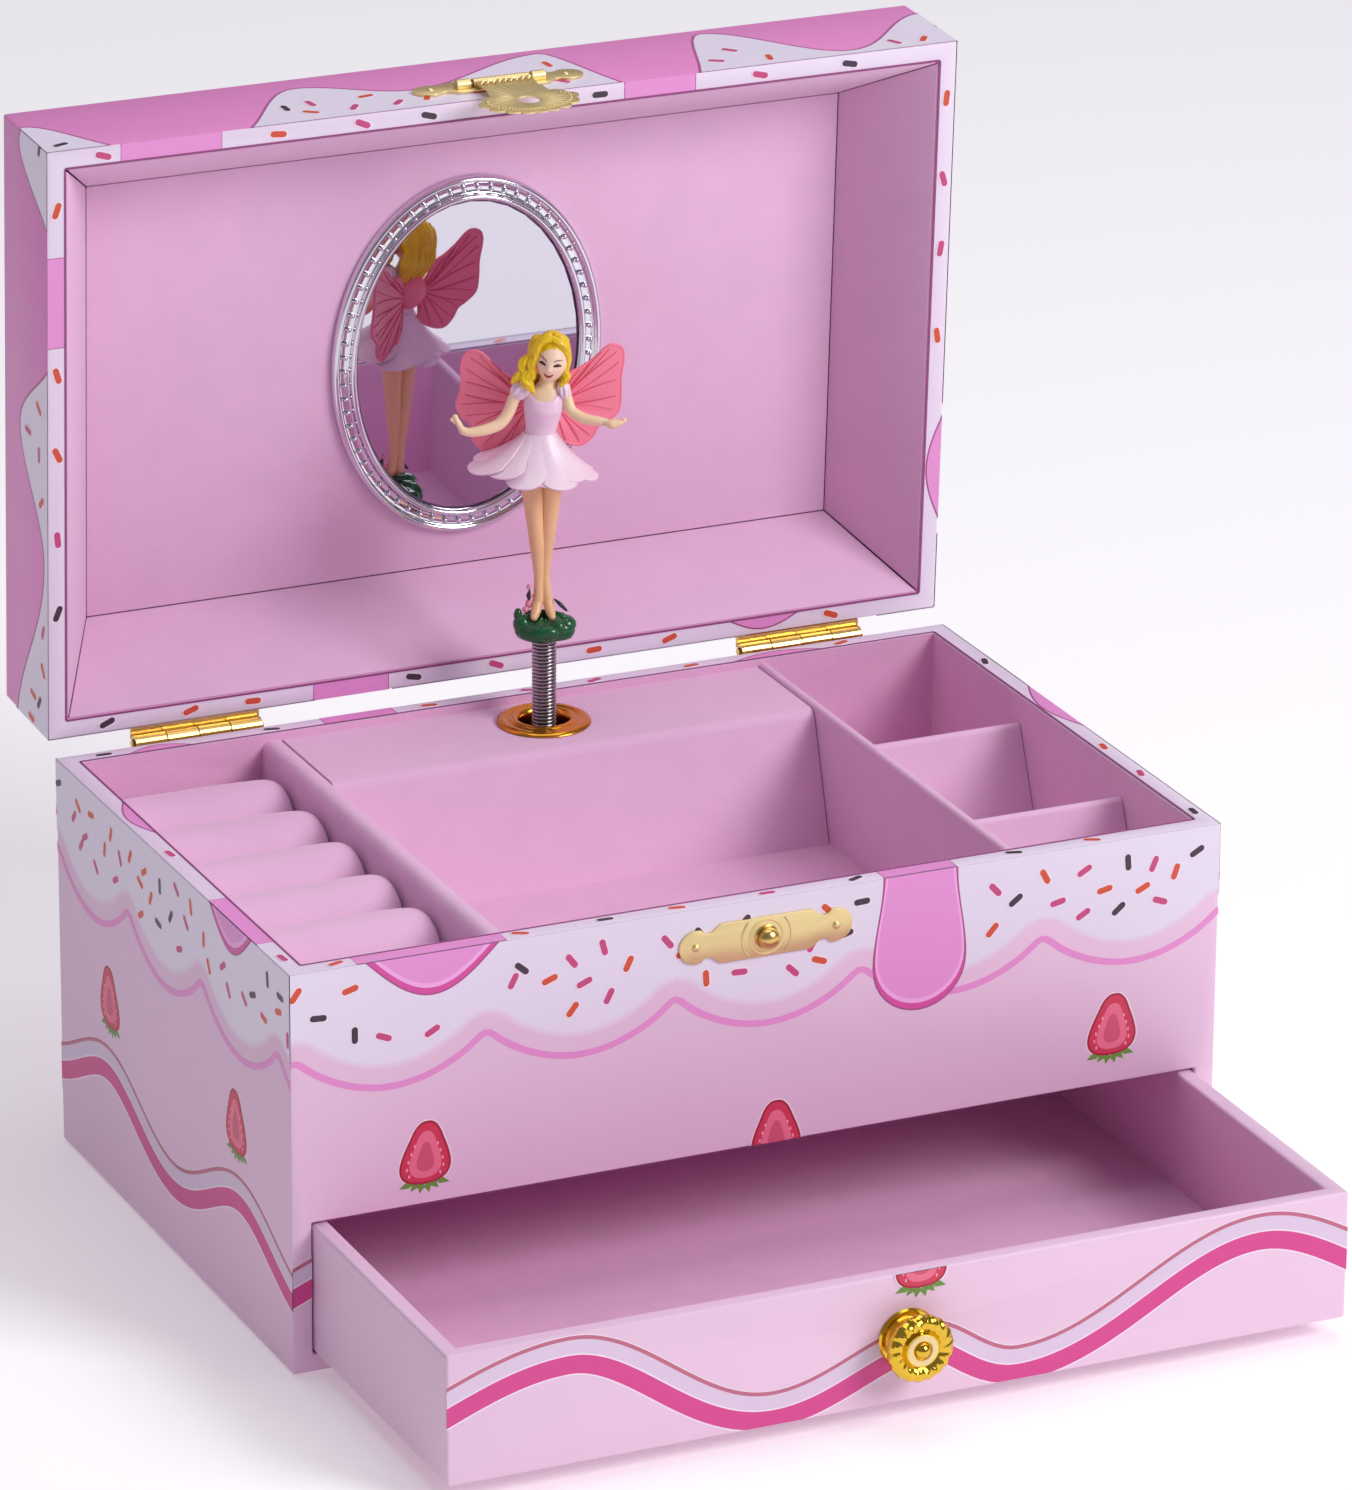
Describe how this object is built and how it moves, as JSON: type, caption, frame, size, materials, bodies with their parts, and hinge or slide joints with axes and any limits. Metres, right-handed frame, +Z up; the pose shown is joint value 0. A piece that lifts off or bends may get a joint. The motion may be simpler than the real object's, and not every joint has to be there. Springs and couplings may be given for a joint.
{
  "type": "musical jewellery box",
  "caption": "Paper-covered jewellery box with a mirrored hinged lid, ring rolls and bins, a pull-out drawer, and a winged dancer on a spring turned by a wind-up musical movement.",
  "frame": {"origin": "centre of the case's underside", "axes": "+Z up, +X to the right-hand end seen from the front, -Y out of the front where the drawer opens"},
  "size_m": [0.25, 0.2864, 0.2686],
  "materials": {
    "printed_paper": "greyboard wrapped in satin printed paper: pink icing, sprinkles, strawberries and waves",
    "lining_paper": "flocked pink lining paper on board, matt",
    "velvet": "pink velvet paper over board and foam, matt with a soft sheen",
    "gilt": "bright gold plate",
    "pale_gilt": "pale embossed gold plate, satin",
    "chrome_plate": "chrome-plated plastic, mirror bright",
    "mirror": "silvered glass",
    "spring_steel": "bright steel",
    "movement_brass": "plain brass",
    "movement_zinc": "die-cast zinc, dull grey",
    "white_plastic": "white moulded plastic",
    "painted_figure": "moulded figure with hand-painted skin, dress, hair and base, satin",
    "wing_plastic": "slightly clear coral plastic with moulded veins"
  },
  "bodies": {
    "case": {"case_base": "printed_paper", "case_left_side": "printed_paper", "case_right_side": "printed_paper", "case_back": "printed_paper", "case_front": "printed_paper", "bay_ceiling": "lining_paper", "tray_floor": "lining_paper", "left_divider": "velvet", "right_divider": "velvet", "rear_cross_divider": "velvet", "front_cross_divider": "velvet", "ring_roll_1": "velvet", "ring_roll_2": "velvet", "ring_roll_3": "velvet", "ring_roll_4": "velvet", "ring_roll_5": "velvet", "ring_roll_6": "velvet", "platform_top": "velvet", "platform_front": "velvet", "spindle_grommet": "gilt", "left_hinge_case_leaf": "gilt", "right_hinge_case_leaf": "gilt", "left_hinge_pin": "gilt", "right_hinge_pin": "gilt", "catch_plate": "pale_gilt", "catch_ball": "pale_gilt", "movement_frame": "movement_zinc", "spring_housing": "movement_brass", "mainspring": "spring_steel", "comb": "spring_steel"},
    "lid": {"lid_top": "printed_paper", "lid_front_wall": "printed_paper", "lid_back_wall": "printed_paper", "lid_left_wall": "printed_paper", "lid_right_wall": "printed_paper", "lid_lining": "velvet", "mirror_bezel": "chrome_plate", "mirror_glass": "mirror", "left_hinge_lid_leaf": "gilt", "right_hinge_lid_leaf": "gilt", "hasp_plate": "pale_gilt", "hasp_pin": "pale_gilt"},
    "hasp": {"hasp": "pale_gilt"},
    "drawer": {"drawer_front": "printed_paper", "drawer_back": "printed_paper", "drawer_left_side": "printed_paper", "drawer_right_side": "printed_paper", "drawer_floor": "lining_paper", "drawer_knob": "gilt", "knob_screw": "spring_steel"},
    "key_shaft": {"winding_key": "movement_brass", "winding_arbor": "spring_steel", "crown_wheel": "movement_brass"},
    "spindle": {"dancer_spindle": "spring_steel", "music_cylinder": "movement_brass"},
    "governor": {"governor_fan": "movement_brass"},
    "spring": {"dancer_spring": "spring_steel", "spring_collar": "white_plastic"},
    "dancer": {"dancer_figure": "painted_figure", "dancer_wings": "wing_plastic"}
  },
  "joints": [
    {"name": "lid_hinge", "type": "hinge", "parent": "case", "child": "lid", "pos_m": [0, 0.0827, 0.1038], "axis": [1, 0, 0], "range_deg": [0, 87.2]},
    {"name": "hasp_hinge", "type": "hinge", "parent": "lid", "child": "hasp", "pos_m": [0, 0.08391, 0.26735], "axis": [-1, 0, 0], "range_deg": [0, 160]},
    {"name": "drawer_slide", "type": "slide", "parent": "case", "child": "drawer", "axis": [0, 1, 0], "range_m": [-0.04, 0.0818]},
    {"name": "key_turn", "type": "hinge", "parent": "case", "child": "key_shaft", "pos_m": [0.0013, 0.08, 0.08], "axis": [0, 1, 0], "continuous": true},
    {"name": "spindle_spin", "type": "hinge", "parent": "case", "child": "spindle", "pos_m": [0.0013, 0.059, 0.07], "axis": [0, 0, 1], "continuous": true},
    {"name": "governor_spin", "type": "hinge", "parent": "case", "child": "governor", "pos_m": [0.01068, 0.059, 0.055], "axis": [0, 0, 1], "continuous": true},
    {"name": "dancer_fold", "type": "hinge", "parent": "case", "child": "spring", "pos_m": [0, 0.059, 0.1136], "axis": [1, 0, 0], "range_deg": [0, 97], "deforming": ["dancer_spring"]},
    {"name": "dancer_spin", "type": "hinge", "parent": "spring", "child": "dancer", "pos_m": [0.0013, 0.059, 0.13], "axis": [0, 0, 1], "continuous": true}
  ],
  "couplings": [
    {"joint": "spindle_spin", "follows": "key_turn", "ratio": -3},
    {"joint": "governor_spin", "follows": "key_turn", "ratio": 12},
    {"joint": "dancer_spin", "follows": "key_turn", "ratio": -3},
    {"joint": "dancer_fold", "follows": "lid_hinge", "ratio": 1.1123}
  ]
}
